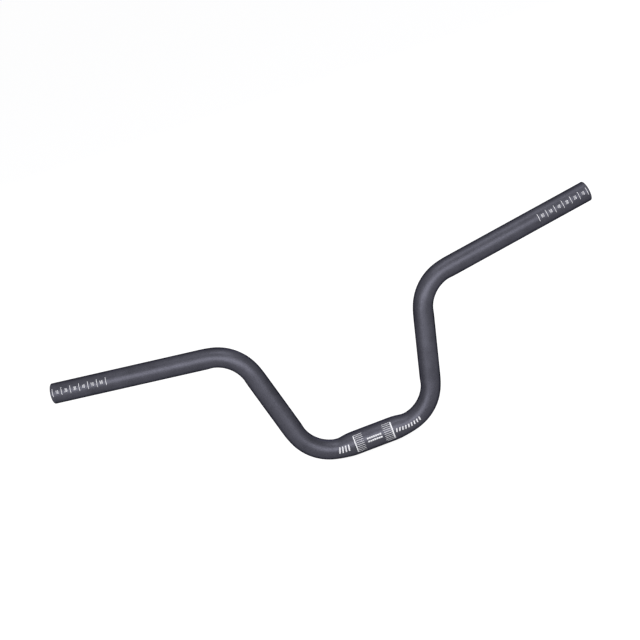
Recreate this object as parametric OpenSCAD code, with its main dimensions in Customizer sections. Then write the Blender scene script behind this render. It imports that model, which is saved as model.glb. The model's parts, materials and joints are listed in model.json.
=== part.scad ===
// High-rise handlebar: one bent alloy tube with a thicker round middle.
// The origin is the centre of the stem clamp. +X runs along the clamp, +Z is the rise,
// and the grips sweep back toward +Y.

/* [Clamp] */
// Outer diameter of the tube where the stem clamps it
clamp_d = 25.4; // [25:0.1:32]
// Length of the full-diameter middle
clamp_length = 40; // [30:1:56]
// Wall of the tube in the middle
clamp_wall = 2.6; // [1.6:0.1:4]

/* [Tube] */
// Outer diameter of the risers and grips
tube_d = 22.2; // [19:0.1:24]
// Wall of the tube in the risers and grips
tube_wall = 2; // [1.2:0.1:3]
// Radius that rounds the outside of each open end
end_round = 1.2; // [0.3:0.1:1.3]
// Chamfer round the mouth of the bore at each open end
bore_chamfer = 0.4; // [0.2:0.1:0.6]

/* [Rise] */
// Length of each taper between the middle and the lower bend
swage_length = 12.5; // [8:0.5:30]
// Radius of the lower bends, to the centreline
lower_bend_r = 45.5; // [36:0.5:70]
// Angle of the risers above the clamp's axis
riser_angle = 76; // [40:1:88]
// Straight length of each riser between its bends
riser_length = 77; // [20:1:130]

/* [Grips] */
// Radius of the upper bends, to the centreline
upper_bend_r = 43; // [34:0.5:70]
// Straight length of each grip
grip_length = 174.5; // [120:0.5:240]
// Angle by which the grips climb toward their ends
upsweep = 5; // [0:1:15]
// Angle by which the grips run back toward their ends
backsweep = 12; // [0:1:30]

/* [Hidden] */
$fn = 96;

clamp_r = clamp_d / 2;
tube_r = tube_d / 2;
clamp_bore_r = clamp_r - clamp_wall;
tube_bore_r = tube_r - tube_wall;
// Where each taper meets its lower bend
middle_half = clamp_length / 2 + swage_length;
// Straight runs that draw the curve of a taper
swage_steps = 10;
// Straight runs that draw the rounding of an open end
end_steps = 6;
// Angle by which each arc of a bend is swept past the bend's halfway point
arc_lap = 5;
// How far the bore's tool runs out of the open ends
bore_past = 2;

// A turn is moved by at most a few hundredths of a degree, to where its sine and cosine are
// both round at this step, so that arcs turned by it lie on the arcs they meet
turn_step = 0.000001;
turn_error = 0.0000000012;

// The nearest value of [cosine, sine] where both are round, found by walking the smaller one
function round_to(x) = round(x / turn_step) * turn_step;
function partner(x, like) = round_to(sqrt(1 - x * x)) * sign(like);
function off_circle(x) = abs(norm([x, round_to(sqrt(1 - x * x))]) - 1);
function walk(x, i = 0) =
    let (tried = round_to(x) + (i % 2 == 0 ? i / 2 : -(i + 1) / 2) * turn_step)
    off_circle(tried) < turn_error ? tried : walk(x, i + 1);
function round_turn(a) =
    abs(cos(a)) < abs(sin(a))
        ? let (c = walk(cos(a))) atan2(partner(c, sin(a)), c)
        : let (s = walk(sin(a))) atan2(s, partner(s, cos(a)));

// Directions of the riser and the grip on the +X side, and the angles of the two bends
riser_dir = [cos(riser_angle), 0, sin(riser_angle)];
grip_dir = [cos(upsweep) * cos(backsweep), cos(upsweep) * sin(backsweep), sin(upsweep)];
lower_bend_angle = round_turn(riser_angle);
upper_bend_angle = round_turn(acos(riser_dir * grip_dir));
// Turn about the riser that lays the upper bend in the plane of riser and grip
outward_dir = [sin(riser_angle), 0, -cos(riser_angle)];
upper_bend_turn = round_turn(180 - atan2(grip_dir[1], grip_dir * outward_dir));

tube_color = "#43444b";

// Radius along a taper, which leaves and arrives level
function swage_r(t, wide_r, thin_r) = wide_r + (thin_r - wide_r) * t * t * (3 - 2 * t);

// Half outline of the middle, from its centre to one lower bend
function swage_points(wide_r, thin_r) = [
    for (i = [0:swage_steps])
        let (t = i / swage_steps)
        [swage_r(t, wide_r, thin_r), clamp_length / 2 + t * swage_length]
];

// The middle, solid: a revolved outline along +Z that tapers toward both ends
module middle(wide_r, thin_r) {
    upper = swage_points(wide_r, thin_r);
    lower = [for (i = [swage_steps:-1:0]) [upper[i][0], -upper[i][1]]];
    rotate_extrude() polygon(concat([[0, middle_half], [0, -middle_half]], lower, upper));
}

// A straight run along +Z, with what follows it as a child
module straight(length, r) {
    cylinder(h = length, r = r);
    translate([0, 0, length]) children();
}

// An arc of tube round the origin, in the plane of X and Z, that starts at -X.
// It runs up where way is 1 and down where way is -1.
module arc(bend_r, angle, r, way) {
    rotate([90 * way, 0, 180])
        rotate_extrude(angle = angle)
            translate([bend_r, 0]) circle(r = r);
}

// A round bend that starts along +Z and turns toward +X, with what follows it as a child.
// One arc runs on from its start and one runs back from its end, and they lap halfway, so
// both ends lie flush on the straight runs beside them.
module bend(bend_r, angle, r) {
    translate([bend_r, 0, 0]) {
        arc(bend_r, angle / 2 + arc_lap, r, 1);
        rotate([0, angle, 0]) {
            arc(bend_r, angle / 2 + arc_lap, r, -1);
            translate([-bend_r, 0, 0]) children();
        }
    }
}

// One side from the middle to its open end, solid, with what shapes the end as a child.
// The hand is 1 toward +X and -1 toward -X.
module side(hand, r, last_length) {
    rotate([0, 0, 90 - 90 * hand])
        translate([middle_half, 0, 0])
            rotate([180, -90, 0])
                bend(lower_bend_r, lower_bend_angle, r)
                    rotate([0, 0, -hand * upper_bend_turn])
                        straight(riser_length, r)
                            bend(upper_bend_r, upper_bend_angle, r)
                                straight(last_length, r)
                                    children();
}

// The last stretch of a run along +Z, whose outer edge is rounded
module rounded_end(r, round_r) {
    edge = [
        for (i = [0:end_steps])
            let (a = 90 * i / end_steps)
            [r - round_r * (1 - cos(a)), round_r * sin(a)]
    ];
    rotate_extrude() polygon(concat([[0, round_r], [0, 0]], edge));
}

// The outside of the tube, filled
module outside() {
    rotate([0, 90, 0]) middle(clamp_r, tube_r);
    for (hand = [1, -1])
        side(hand, tube_r, grip_length - end_round) rounded_end(tube_r, end_round);
}

// The space inside the tube, which runs out past both open ends
module bore() {
    mouth_r = tube_bore_r + bore_chamfer;
    rotate([0, 90, 0]) middle(clamp_bore_r, tube_bore_r);
    for (hand = [1, -1])
        side(hand, tube_bore_r, grip_length - bore_chamfer) {
            cylinder(h = bore_chamfer, r1 = tube_bore_r, r2 = mouth_r);
            translate([0, 0, bore_chamfer]) cylinder(h = bore_past, r = mouth_r);
        }
}

module handlebar_tube() {
    color(tube_color)
        difference() {
            outside();
            bore();
        }
}

handlebar_tube();
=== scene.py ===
import json
import math

import bpy
from mathutils import Matrix, Vector


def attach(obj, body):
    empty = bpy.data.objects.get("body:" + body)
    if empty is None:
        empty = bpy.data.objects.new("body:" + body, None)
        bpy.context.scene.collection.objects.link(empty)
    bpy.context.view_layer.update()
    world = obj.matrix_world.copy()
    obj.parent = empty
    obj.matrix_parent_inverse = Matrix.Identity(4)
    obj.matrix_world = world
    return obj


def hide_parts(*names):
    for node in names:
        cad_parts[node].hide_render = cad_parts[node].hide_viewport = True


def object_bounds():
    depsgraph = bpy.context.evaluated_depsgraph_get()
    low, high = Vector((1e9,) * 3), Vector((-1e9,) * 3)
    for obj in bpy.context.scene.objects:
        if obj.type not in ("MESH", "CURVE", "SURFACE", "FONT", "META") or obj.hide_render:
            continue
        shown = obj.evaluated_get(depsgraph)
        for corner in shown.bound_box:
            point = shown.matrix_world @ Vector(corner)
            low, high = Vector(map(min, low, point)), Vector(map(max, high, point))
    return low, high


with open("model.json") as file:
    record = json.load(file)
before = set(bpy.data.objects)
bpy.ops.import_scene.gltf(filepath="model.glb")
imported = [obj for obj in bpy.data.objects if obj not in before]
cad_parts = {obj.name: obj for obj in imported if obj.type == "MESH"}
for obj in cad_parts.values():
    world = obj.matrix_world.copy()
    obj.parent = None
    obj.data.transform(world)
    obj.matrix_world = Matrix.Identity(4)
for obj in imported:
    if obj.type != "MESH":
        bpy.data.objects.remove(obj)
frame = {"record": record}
cad_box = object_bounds()

# Handlebar tube
# The real bar is one drawn aluminium tube. It is left at full diameter in the middle for the
# stem, swaged down to grip diameter on both sides, and bent four times on a mandrel, which
# leaves the section a little flat in each bend. Its ends are cut square and rounded over.
MM = 0.001
MOUNTS = {mount["name"]: mount for mount in frame["record"]["mounts"]}
CLAMP_R = MOUNTS["stem_clamp"]["dims"]["r_mm"] * MM
TUBE_R = MOUNTS["left_grip"]["dims"]["r_mm"] * MM
BORE_R = MOUNTS["left_bar_end"]["dims"]["r_mm"] * MM
GRIP_DIR = Vector(MOUNTS["left_grip"]["axis"]).normalized()
MIDDLE_HALF = 32.5 * MM
LOWER_BEND_R = 45.5 * MM
RISER_ANGLE = math.radians(76)
RISER_LENGTH = 77 * MM
UPPER_BEND_R = 43 * MM
GRIP_LENGTH = 174.5 * MM
CLAMP_WALL = 2.6 * MM
SWAGE_START = 20 * MM
SWAGE_END = 45 * MM
END_ROUND = 1.2 * MM
BORE_ROUND = 0.4 * MM
# How much of its radius the tube loses in the plane of a bend, and gains across it
BEND_FLATTENING = 0.042
BEND_SWELLING = 0.012
# Length over which the section flattens and comes round again at a bend's ends
FLATTENING_RAMP = 12 * MM
# How finely the mesh follows the tube: corners in a ring, rings in a rounded edge, the
# spacing of the rings outside and in the bore, and how far from the open end they stop
RING_CORNERS = 96
RIM_STEPS = 6
BEND_STEP = 1.2 * MM
STRAIGHT_STEP = 3.5 * MM
BORE_BEND_STEP = 2 * BEND_STEP
BORE_STRAIGHT_STEP = 4 * STRAIGHT_STEP
OUTSIDE_STOP = END_ROUND + 1.0 * MM
BORE_STOP = 6.0 * MM
FRONT = Vector((0, -1, 0))


def ease(t):
    """Rises from 0 to 1, level at both ends."""
    t = min(max(t, 0.0), 1.0)
    return t * t * (3 - 2 * t)


class Run:
    """A straight or round stretch of the tube's centreline, from arc length start to end."""

    def __init__(self, start, length, origin, heading, toward=None, bend_r=None):
        self.start, self.length, self.end = start, length, start + length
        self.origin, self.heading, self.toward, self.bend_r = origin, heading, toward, bend_r

    def at(self, s):
        """The centreline's point and heading at arc length s."""
        along = s - self.start
        if self.bend_r is None:
            return self.origin + self.heading * along, self.heading
        turn = along / self.bend_r
        centre = self.origin + self.toward * self.bend_r
        out = self.heading * math.sin(turn) - self.toward * math.cos(turn)
        heading = self.heading * math.cos(turn) + self.toward * math.sin(turn)
        return centre + out * self.bend_r, heading

    def inward(self, s):
        """The direction toward the bend's centre at arc length s."""
        turn = (s - self.start) / self.bend_r
        return self.toward * math.cos(turn) - self.heading * math.sin(turn)


def bend_run(start, origin, heading, next_heading, bend_r):
    """The round stretch that turns the centreline from one heading to the next."""
    toward = (next_heading - heading * heading.dot(next_heading)).normalized()
    return Run(start, heading.angle(next_heading) * bend_r, origin, heading, toward, bend_r)


def centreline_runs():
    """The stretches of the +X half, from the middle of the clamp to the open end."""
    riser_dir = Vector((math.cos(RISER_ANGLE), 0, math.sin(RISER_ANGLE)))
    runs = [Run(0, MIDDLE_HALF, Vector((0, 0, 0)), Vector((1, 0, 0)))]
    plan = [(riser_dir, LOWER_BEND_R, RISER_LENGTH), (GRIP_DIR, UPPER_BEND_R, GRIP_LENGTH)]
    for next_dir, bend_r, length in plan:
        point, heading = runs[-1].at(runs[-1].end)
        runs.append(bend_run(runs[-1].end, point, heading, next_dir, bend_r))
        point, heading = runs[-1].at(runs[-1].end)
        runs.append(Run(runs[-1].end, length, point, heading))
    return runs


RUNS = centreline_runs()
HALF_LENGTH = RUNS[-1].end


def section_frame(s):
    """The centreline's point at arc length s on the +X half, with front and up across it."""
    run = next((run for run in RUNS if s <= run.end), RUNS[-1])
    point, heading = run.at(s)
    front = (FRONT - heading * heading.dot(FRONT)).normalized()
    return point, front, front.cross(heading)


def flattening(s, direction):
    """The share of its radius that the tube gains or loses at s in a direction across it."""
    share = 0.0
    for run in RUNS:
        if run.bend_r is None:
            continue
        nearest = min(max(s, run.start), run.end)
        depth = ease(0.5 + min(s - run.start, run.end - s) / FLATTENING_RAMP)
        in_plane = run.inward(nearest).dot(direction) ** 2
        share += depth * (BEND_SWELLING * (1 - in_plane) - BEND_FLATTENING * in_plane)
    return share


def swaged(s, wide_r, thin_r):
    """A radius at s that the swage takes from wide in the clamp to thin in the grip."""
    return wide_r + (thin_r - wide_r) * ease((s - SWAGE_START) / (SWAGE_END - SWAGE_START))


def outer_r(s, direction):
    return swaged(s, CLAMP_R, TUBE_R) * (1 + flattening(s, direction))


def inner_r(s, direction):
    return swaged(s, CLAMP_R - CLAMP_WALL, BORE_R) * (1 + flattening(s, direction))


def surface_point(s, angle, lift=0.0, radius=outer_r):
    """A point on the tube at arc length s, which is below 0 on the -X half, and at an angle
    round it from its front up toward its top."""
    point, front, up = section_frame(abs(s))
    out = front * math.cos(angle) + up * math.sin(angle)
    point = point + out * (radius(abs(s), out) + lift)
    return Vector((-point.x, point.y, point.z)) if s < 0 else point


def ring_places(fine, coarse, last):
    """Arc lengths of the rings on the +X half up to the last, close where the tube bends."""
    places = [0.0]
    for run in RUNS:
        step = coarse if run.bend_r is None and run.start > 0 else fine
        count = math.ceil(run.length / step)
        places += [run.start + run.length * (i + 1) / count for i in range(count)]
    return [s for s in places if s < last]


def rim_rings(rounding, way):
    """Rings that round one edge of the rim, as pairs of arc length and change of radius."""
    turns = [math.pi / 2 * i / RIM_STEPS for i in range(RIM_STEPS + 1)]
    return [(HALF_LENGTH - rounding * (1 - math.sin(t)), way * rounding * (1 - math.cos(t)))
            for t in turns]


def tube_rings():
    """Every ring of the closed tube: out along the outside, over one rim, back through the
    bore and over the other rim. Each is arc length, change of radius, radius and material."""
    outside = ring_places(BEND_STEP, STRAIGHT_STEP, HALF_LENGTH - OUTSIDE_STOP)
    inside = ring_places(BORE_BEND_STEP, BORE_STRAIGHT_STEP, HALF_LENGTH - BORE_STOP)
    half = [(s, 0.0, outer_r, 0) for s in outside]
    half += [(s, change, outer_r, 0) for s, change in rim_rings(END_ROUND, -1)]
    half += [(s, change, inner_r, 1) for s, change in reversed(rim_rings(BORE_ROUND, 1))]
    half += [(s, 0.0, inner_r, 1) for s in reversed(inside)]
    return half + [(-s, change, radius, place) for s, change, radius, place in half[-2:0:-1]]


def srgb(code):
    """A hex colour as it looks on screen, turned to the linear values that shaders take."""
    parts = [int(code[i:i + 2], 16) / 255 for i in (1, 3, 5)]
    return [c / 12.92 if c <= 0.04045 else ((c + 0.055) / 1.055) ** 2.4 for c in parts] + [1.0]


def add_node(tree, kind, inputs=None, **settings):
    """A shader node with its settings, and inputs that are values or other nodes' outputs."""
    node = tree.nodes.new(kind)
    for key, value in settings.items():
        setattr(node, key, value)
    for key, value in (inputs or {}).items():
        if isinstance(value, bpy.types.NodeSocket):
            tree.links.new(value, node.inputs[key])
        else:
            node.inputs[key].default_value = value
    return node


def new_material(name):
    """A new material, its node tree and its shader."""
    material = bpy.data.materials.new(name)
    material.use_nodes = True
    return material, material.node_tree, material.node_tree.nodes["Principled BSDF"]


# Blasted, black anodised aluminium: the blasting leaves an even field of tiny pits, and the
# dyed oxide takes a broad soft sheen instead of a highlight. The pits are 0.05 mm across on
# the real tube, and are drawn 0.5 mm across so that they show. The shade of the dye drifts
# a little over a centimetre or two.
PIT_WIDTH = 0.5 * MM
PIT_STRENGTH = 0.5
DYE_CLOUD_WIDTH = 16 * MM
# How much of the dye's unevenness comes from the pits, and where its dark and light shades lie
PIT_SHARE = 0.75
DYE_RAMP = (0.38, 0.62)
# The spread of the drift's noise, and how far the roughness drifts either way with it
CLOUD_RANGE = (0.3, 0.7)
GLOSS_DRIFT = 0.02
# Painted shade: the reflection at a slant is tinted dark, so the tube's edges stay dark as if the
# room round them were dark
PAINTED_EDGE_SHADE = srgb("#646468")


def anodised_aluminium(name, dark, light, roughness, pit_depth):
    material, tree, shader = new_material(name)
    place = add_node(tree, "ShaderNodeTexCoord").outputs["Object"]
    cloud = add_node(tree, "ShaderNodeTexNoise",
                     {"Vector": place, "Scale": 1 / DYE_CLOUD_WIDTH, "Detail": 3.0}).outputs["Fac"]
    speck = add_node(tree, "ShaderNodeTexNoise",
                     {"Vector": place, "Scale": 1 / PIT_WIDTH, "Detail": 2.0}).outputs["Fac"]
    uneven = add_node(tree, "ShaderNodeMix", {0: PIT_SHARE, 2: cloud, 3: speck}).outputs[0]
    dye = add_node(tree, "ShaderNodeValToRGB", {"Fac": uneven})
    for element, position, code in zip(dye.color_ramp.elements, DYE_RAMP, (dark, light)):
        element.position = position
        element.color = srgb(code)
    gloss = add_node(tree, "ShaderNodeMapRange", {
        "Value": cloud, "From Min": CLOUD_RANGE[0], "From Max": CLOUD_RANGE[1],
        "To Min": roughness - GLOSS_DRIFT, "To Max": roughness + GLOSS_DRIFT})
    pits = add_node(tree, "ShaderNodeTexVoronoi", {"Vector": place, "Scale": 1 / PIT_WIDTH},
                    feature="SMOOTH_F1")
    blasted = add_node(tree, "ShaderNodeMath", {0: pits.outputs["Distance"], 1: speck},
                       operation="MULTIPLY")
    bump = add_node(tree, "ShaderNodeBump", {
        "Height": blasted.outputs[0], "Strength": PIT_STRENGTH, "Distance": pit_depth})
    tree.links.new(dye.outputs["Color"], shader.inputs["Base Color"])
    tree.links.new(gloss.outputs["Result"], shader.inputs["Roughness"])
    tree.links.new(bump.outputs["Normal"], shader.inputs["Normal"])
    shader.inputs["Metallic"].default_value = 1.0
    # The dark tint on the slanted reflection is painted shade on the tube's edges
    shader.inputs["Specular Tint"].default_value = PAINTED_EDGE_SHADE
    return material


def new_piece(name, points, faces, materials, places=None):
    """A smooth mesh that rides with the bar, with the place of each face's material."""
    mesh = bpy.data.meshes.new(name)
    mesh.from_pydata(points, [], faces)
    for material in materials:
        mesh.materials.append(material)
    mesh.polygons.foreach_set("material_index", places or [0] * len(faces))
    mesh.polygons.foreach_set("use_smooth", [True] * len(faces))
    mesh.update()
    piece = bpy.data.objects.new(name, mesh)
    bpy.context.scene.collection.objects.link(piece)
    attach(piece, "root")
    return piece


def make_tube():
    """The tube as one closed mesh of rings, with a duller, darker finish in the bore."""
    rings = tube_rings()
    turns = [2 * math.pi * k / RING_CORNERS for k in range(RING_CORNERS)]
    points = [surface_point(s, turn, change, radius)
              for s, change, radius, _ in rings for turn in turns]
    faces, places = [], []
    for i, (*_, place) in enumerate(rings):
        here, there = i * RING_CORNERS, (i + 1) % len(rings) * RING_CORNERS
        for k in range(RING_CORNERS):
            after = (k + 1) % RING_CORNERS
            faces.append((here + k, there + k, there + after, here + after))
            places.append(place)
    skin = anodised_aluminium("anodised_skin", dark="#3b3b42", light="#4f4f58",
                              roughness=0.44, pit_depth=0.03 * MM)
    bore = anodised_aluminium("anodised_bore", dark="#2e2e34", light="#3e3e46",
                              roughness=0.52, pit_depth=0.02 * MM)
    return new_piece("tube", points, faces, [skin, bore], places)


tube = make_tube()
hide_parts("handlebar_tube")

# End gauges
# Each grip has a gauge for cutting the bar and setting the levers: seven lines 10 mm apart,
# with the distance between them. A laser burns the dye out of the oxide, which leaves pale,
# matt lines.
GAUGE_FIRST = HALF_LENGTH - 3 * MM
GAUGE_PITCH = 10 * MM
GAUGE_CELLS = 6
GAUGE_LINE = 8.5 * MM
GAUGE_WIDTH = 0.55 * MM
# How far up round the tube from its front each gauge sits, by the sign of its X
GAUGE_UP = {1: 2.3 * MM, -1: 3.7 * MM}
DIGIT_WIDTH = 0.95 * MM
DIGIT_HEIGHT = 3.3 * MM
DIGIT_GAP = 0.75 * MM
DIGIT_STROKE = 0.42 * MM
# The print's top and underside, above and below the tube's own surface
MARK_TOP = 0.05 * MM
MARK_ROOT = -0.03 * MM
# How closely the print follows the tube, how far a corner of it may reach out as a multiple
# of half its width, and how near two places are the same one
MARK_STEP = 0.9 * MM
SHARPEST_MITRE = 1.6
SAME_PLACE = 0.001 * MM
# Digits as paths in a cell that is 1 wide and 2 high
DIGITS = {
    "0": [(0, 0.3), (0.3, 0), (0.7, 0), (1, 0.3), (1, 1.7), (0.7, 2), (0.3, 2), (0, 1.7),
          (0, 0.3)],
    "1": [(0.1, 1.6), (0.6, 2), (0.6, 0)],
    "2": [(0, 1.7), (0.3, 2), (0.7, 2), (1, 1.7), (1, 1.2), (0, 0), (1, 0)],
    "3": [(0, 1.8), (0.3, 2), (0.7, 2), (1, 1.7), (1, 1.3), (0.6, 1.05), (1, 0.8), (1, 0.3),
          (0.7, 0), (0.3, 0), (0, 0.2)],
    "4": [(0.8, 0), (0.8, 2), (0, 0.6), (0.6, 0.6)],
    "5": [(1, 2), (0.05, 2), (0, 1.15), (0.7, 1.15), (1, 0.9), (1, 0.3), (0.7, 0), (0.3, 0),
          (0, 0.2)],
    "6": [(0.9, 1.9), (0.6, 2), (0.3, 2), (0, 1.7), (0, 0.3), (0.3, 0), (0.7, 0), (1, 0.3),
          (1, 0.85), (0.7, 1.1), (0.25, 1.1)],
}
# The laser's dots are 0.1 mm apart on the real bar, and are drawn 0.4 mm apart so that they show
DOT_PITCH = 0.4 * MM
DOT_DEPTH = 0.02 * MM


def marked_oxide():
    """Laser-marked oxide: pale grey and matt, with a faint stipple from the laser's dots."""
    material, tree, shader = new_material("laser_marked_oxide")
    place = add_node(tree, "ShaderNodeTexCoord").outputs["Object"]
    dots = add_node(tree, "ShaderNodeTexVoronoi", {"Vector": place, "Scale": 1 / DOT_PITCH})
    tone = add_node(tree, "ShaderNodeValToRGB", {"Fac": dots.outputs["Distance"]})
    tone.color_ramp.elements[0].color = srgb("#f8f8fa")
    tone.color_ramp.elements[1].color = srgb("#dedee4")
    bump = add_node(tree, "ShaderNodeBump", {
        "Height": dots.outputs["Distance"], "Strength": 0.3, "Distance": DOT_DEPTH})
    tree.links.new(tone.outputs["Color"], shader.inputs["Base Color"])
    tree.links.new(bump.outputs["Normal"], shader.inputs["Normal"])
    shader.inputs["Roughness"].default_value = 0.7
    return material


def mitres(path, width):
    """The sideways step to a band's left edge at each place of its path, and whether the path
    is closed, which is when it comes back to its start."""
    headings = [(b - a).normalized() for a, b in zip(path, path[1:])]
    closed = (path[0] - path[-1]).length < SAME_PLACE
    before = [headings[-1] if closed else headings[0]] + headings
    after = headings + [headings[0] if closed else headings[-1]]
    steps = []
    for one, other in zip(before, after):
        middle = (one + other).normalized()
        reach = 1 / max(middle.dot(one), 1 / SHARPEST_MITRE)
        steps.append(Vector((-middle.y, middle.x)) * width / 2 * reach)
    return steps, closed


def add_band(points, faces, path, width):
    """Adds a closed band of print that lies on the tube. Its path is places on the unrolled
    tube, each an arc length along it and a distance up round it from the front."""
    path = [Vector(place) for place in path]
    steps, closed = mitres(path, width)
    stations = []
    for i, (a, b) in enumerate(zip(path, path[1:])):
        count = math.ceil((b - a).length / MARK_STEP)
        stations += [(a.lerp(b, k / count), steps[i].lerp(steps[i + 1], k / count))
                     for k in range(count)]
    if not closed:
        stations.append((path[-1], steps[-1]))
    first = len(points)
    # The section's corners, each a share of the sideways step and a height over the tube
    corners = [(1, MARK_TOP), (0, MARK_TOP), (-1, MARK_TOP), (-1, MARK_ROOT), (0, MARK_ROOT),
               (1, MARK_ROOT)]
    for centre, step in stations:
        for side, lift in corners:
            s, climb = centre + step * side
            points.append(surface_point(s, climb / swaged(abs(s), CLAMP_R, TUBE_R), lift))
    loops = [range(i, i + len(corners)) for i in range(first, len(points), len(corners))]
    joined = list(zip(loops, loops[1:])) + ([(loops[-1], loops[0])] if closed else [])
    for here, there in joined:
        for k in range(len(corners)):
            after = (k + 1) % len(corners)
            faces.append((here[after], there[after], there[k], here[k]))
    if not closed:
        for loop, way in ((loops[0], -1), (loops[-1], 1)):
            faces += [(loop[0], loop[1], loop[4], loop[5])[::way],
                      (loop[1], loop[2], loop[3], loop[4])[::way]]


def make_print(name, bands):
    """One piece of print from its bands, which are pairs of path and width."""
    points, faces = [], []
    for path, width in bands:
        add_band(points, faces, path, width)
    return new_piece(name, points, faces, [print_look])


def digit_bands(number, centre_s, centre_up):
    """The bands that draw a number, upright to someone in front of the bar."""
    advance = DIGIT_WIDTH + DIGIT_GAP
    left = centre_s - (len(number) * advance - DIGIT_GAP) / 2
    return [([(left + i * advance + x * DIGIT_WIDTH, centre_up + (y - 1) * DIGIT_HEIGHT / 2)
              for x, y in DIGITS[digit]], DIGIT_STROKE) for i, digit in enumerate(number)]


def gauge_bands(side):
    """The lines and numbers of one gauge, counted in millimetres from the open end."""
    up = GAUGE_UP[side]
    bands = []
    for i in range(GAUGE_CELLS + 1):
        s = side * (GAUGE_FIRST - i * GAUGE_PITCH)
        bands.append(([(s, up - GAUGE_LINE / 2), (s, up + GAUGE_LINE / 2)], GAUGE_WIDTH))
    for i in range(GAUGE_CELLS):
        s = side * (GAUGE_FIRST - (i + 0.5) * GAUGE_PITCH)
        bands += digit_bands(str(round(GAUGE_PITCH / MM) * (i + 1)), s, up)
    return bands


print_look = marked_oxide()
make_print("left_end_gauge", gauge_bands(1))
make_print("right_end_gauge", gauge_bands(-1))

# Stem rulers
# Two combs of fine lines, one at each edge of the stem's clamp, show whether the bar sits in
# the middle and how far it is turned. They are laser marked in the same pass as the gauges.
RULER_AT = 20.8 * MM
# The width of each comb's long line, by the sign of its X
RULER_WIDTHS = {1: 1.5 * MM, -1: 1.2 * MM}
RULER_LOW = -8.0 * MM
RULER_HIGH = 12.1 * MM
RULER_TICKS = 10
TICK_END = 11.1 * MM
TICK_WIDTH = 0.44 * MM
TICK_GAP = 0.05 * MM


def ruler_bands(side):
    """One comb: a line round the front of the clamp, and its ticks toward the middle."""
    width = RULER_WIDTHS[side]
    bands = [([(side * RULER_AT, RULER_LOW), (side * RULER_AT, RULER_HIGH)], width)]
    tick_start = RULER_AT - width / 2 - TICK_GAP
    low, high = RULER_LOW + TICK_WIDTH / 2, RULER_HIGH - TICK_WIDTH / 2
    for i in range(RULER_TICKS):
        up = low + (high - low) * i / (RULER_TICKS - 1)
        bands.append(([(side * tick_start, up), (side * TICK_END, up)], TICK_WIDTH))
    return bands


make_print("left_stem_ruler", ruler_bands(1))
make_print("right_stem_ruler", ruler_bands(-1))

# Small print
# Between the rulers run two rows of plain dashes, and outside them are slanted bars along
# the swages. They are laser marked too.
DASH_COUNT = 7
DASH_LENGTH = 2.1 * MM
DASH_GAP = 0.25 * MM
DASH_HEIGHT = 1.8 * MM
BAR_PITCH = 3.4 * MM
BAR_WIDTH = 1.5 * MM
BAR_LEAN = 1.3 * MM
# Each row's arc length at its start, and how far up round the tube it runs
DASH_ROWS = [(-7.8 * MM, 3.4 * MM), (-7.6 * MM, -0.1 * MM)]


def dash_bands():
    """The dashes of both rows."""
    bands = []
    for start, up in DASH_ROWS:
        for i in range(DASH_COUNT):
            s = start + i * (DASH_LENGTH + DASH_GAP)
            bands.append(([(s, up), (s + DASH_LENGTH, up)], DASH_HEIGHT))
    return bands


def bar_bands(first, count, height, up, climb):
    """Slanted bars from the arc length of the first, each a step further up round the tube."""
    bands = []
    for i in range(count):
        s, middle = first + i * BAR_PITCH, up + i * climb
        bands.append(([(s - BAR_LEAN / 2, middle - height / 2),
                       (s + BAR_LEAN / 2, middle + height / 2)], BAR_WIDTH))
    return bands


make_print("clamp_dashes", dash_bands())
make_print("left_swage_bars", bar_bands(first=25.0 * MM, count=9, height=4.0 * MM,
                                        up=0.6 * MM, climb=-0.16 * MM))
make_print("right_swage_bars", bar_bands(first=-39.0 * MM, count=4, height=7.0 * MM,
                                         up=1.0 * MM, climb=0.0))

# Floor and backdrop
# A pale floor under the bar, which stays white to the camera and takes a soft shadow, and a
# white room round it.
FLOOR_GAP = 0.2 * MM
FLOOR_Z = cad_box[0][2] - FLOOR_GAP
FLOOR_HALF = 40.0
# The floor's shade drifts in this many patches across it
FLOOR_PATCHES = 30.0
# How bright the floor is to the rays that show it, and the room to all others, where 1 is white
FLOOR_GLOW = 0.90
ROOM_FILL = 0.35


def seen_rays(tree):
    """1 for the rays that show the background: the camera's, reflected and refracted ones."""
    path = add_node(tree, "ShaderNodeLightPath")
    seen = path.outputs["Is Camera Ray"]
    for name in ("Is Glossy Ray", "Is Transmission Ray"):
        seen = add_node(tree, "ShaderNodeMath", {0: seen, 1: path.outputs[name]},
                        operation="MAXIMUM").outputs[0]
    return seen


def make_floor():
    """A flat card that takes the shadow, with a glow on top that only seen rays meet."""
    material, tree, shader = new_material("studio_floor")
    tree.nodes.remove(shader)
    patches = add_node(tree, "ShaderNodeTexNoise", {"Scale": FLOOR_PATCHES})
    shade = add_node(tree, "ShaderNodeValToRGB", {"Fac": patches.outputs["Fac"]})
    shade.color_ramp.elements[0].color = srgb("#909090")
    shade.color_ramp.elements[1].color = srgb("#989898")
    strength = add_node(tree, "ShaderNodeMath", {0: seen_rays(tree), 1: FLOOR_GLOW},
                        operation="MULTIPLY").outputs[0]
    card = add_node(tree, "ShaderNodeBsdfDiffuse", {"Color": shade.outputs["Color"]})
    glow = add_node(tree, "ShaderNodeEmission", {"Strength": strength})
    both = add_node(tree, "ShaderNodeAddShader", {0: card.outputs[0], 1: glow.outputs[0]})
    tree.links.new(both.outputs[0], tree.nodes["Material Output"].inputs["Surface"])
    corners = [(-FLOOR_HALF, -FLOOR_HALF, FLOOR_Z), (FLOOR_HALF, -FLOOR_HALF, FLOOR_Z),
               (FLOOR_HALF, FLOOR_HALF, FLOOR_Z), (-FLOOR_HALF, FLOOR_HALF, FLOOR_Z)]
    mesh = bpy.data.meshes.new("floor")
    mesh.from_pydata(corners, [], [(0, 1, 2, 3)])
    mesh.materials.append(material)
    floor = bpy.data.objects.new("floor", mesh)
    bpy.context.scene.collection.objects.link(floor)


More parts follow.
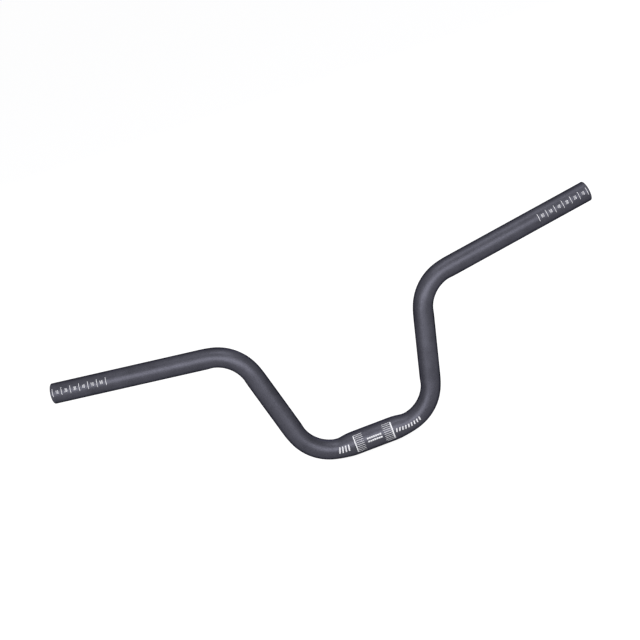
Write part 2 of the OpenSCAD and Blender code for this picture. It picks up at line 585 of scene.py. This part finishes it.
def make_room():
    """A pale fill from all round, behind a white that only seen rays meet."""
    world = bpy.data.worlds.new("studio_room")
    bpy.context.scene.world = world
    world.use_nodes = True
    tree = world.node_tree
    fill = tree.nodes["Background"]
    fill.inputs["Color"].default_value = srgb("#e4e4ea")
    fill.inputs["Strength"].default_value = ROOM_FILL
    white = add_node(tree, "ShaderNodeBackground", {"Color": srgb("#ffffff"), "Strength": 1.0})
    either = add_node(tree, "ShaderNodeMixShader",
                      {0: seen_rays(tree), 1: fill.outputs[0], 2: white.outputs[0]})
    tree.links.new(either.outputs[0], tree.nodes["World Output"].inputs["Surface"])


make_floor()
make_room()

# Light
# One broad soft box about level with the camera lights the front of the tube, two weaker
# ones hang above and behind, and the edges of the tube fall away, darkened further by the painted
# shade of the tube's edge tint.
LIT_PLACE = (0.0, 0.02, 0.07)


def soft_box(name, place, size, power):
    """A rectangular lamp at a place in metres, turned toward the bar."""
    data = bpy.data.lights.new(name, "AREA")
    data.shape = "RECTANGLE"
    data.size, data.size_y = size
    data.energy = power
    lamp = bpy.data.objects.new(name, data)
    lamp.location = place
    lamp.rotation_euler = (Vector(LIT_PLACE) - Vector(place)).to_track_quat("-Z", "Y").to_euler()
    bpy.context.scene.collection.objects.link(lamp)


soft_box("front_box", place=(-0.15, -1.9, 0.62), size=(3.6, 1.2), power=48.0)
soft_box("top_box", place=(0.3, -0.4, 1.9), size=(1.2, 0.8), power=8.0)
soft_box("back_box", place=(0.5, 1.9, 1.0), size=(2.4, 1.0), power=14.0)

# Camera
# It stands 2.4 m in front of the bar with a long lens, and looks down on it from a little
# above, rolled so that the bar leans.
CAMERA_PLACE = Vector((30.2, -2282.9, 734.7)) * MM
CAMERA_TARGET = Vector((-9.1, 0.0, 139.5)) * MM
CAMERA_ROLL = math.radians(21.08)
LENS_MM = 127.0
SENSOR_MM = 36.0
CLIP_END = 200.0


def make_camera():
    """The camera, with its axes worked out from where it stands, looks and rolls."""
    data = bpy.data.cameras.new("camera")
    data.sensor_width = SENSOR_MM
    data.lens = LENS_MM
    data.clip_end = CLIP_END
    camera = bpy.data.objects.new("camera", data)
    view = (CAMERA_TARGET - CAMERA_PLACE).normalized()
    level = view.cross(Vector((0, 0, 1))).normalized()
    up = Matrix.Rotation(CAMERA_ROLL, 3, view) @ level.cross(view)
    axes = Matrix((view.cross(up), up, -view)).transposed()
    camera.matrix_world = Matrix.Translation(CAMERA_PLACE) @ axes.to_4x4()
    bpy.context.scene.collection.objects.link(camera)
    bpy.context.scene.camera = camera


make_camera()
bpy.context.scene.view_settings.view_transform = "Standard"
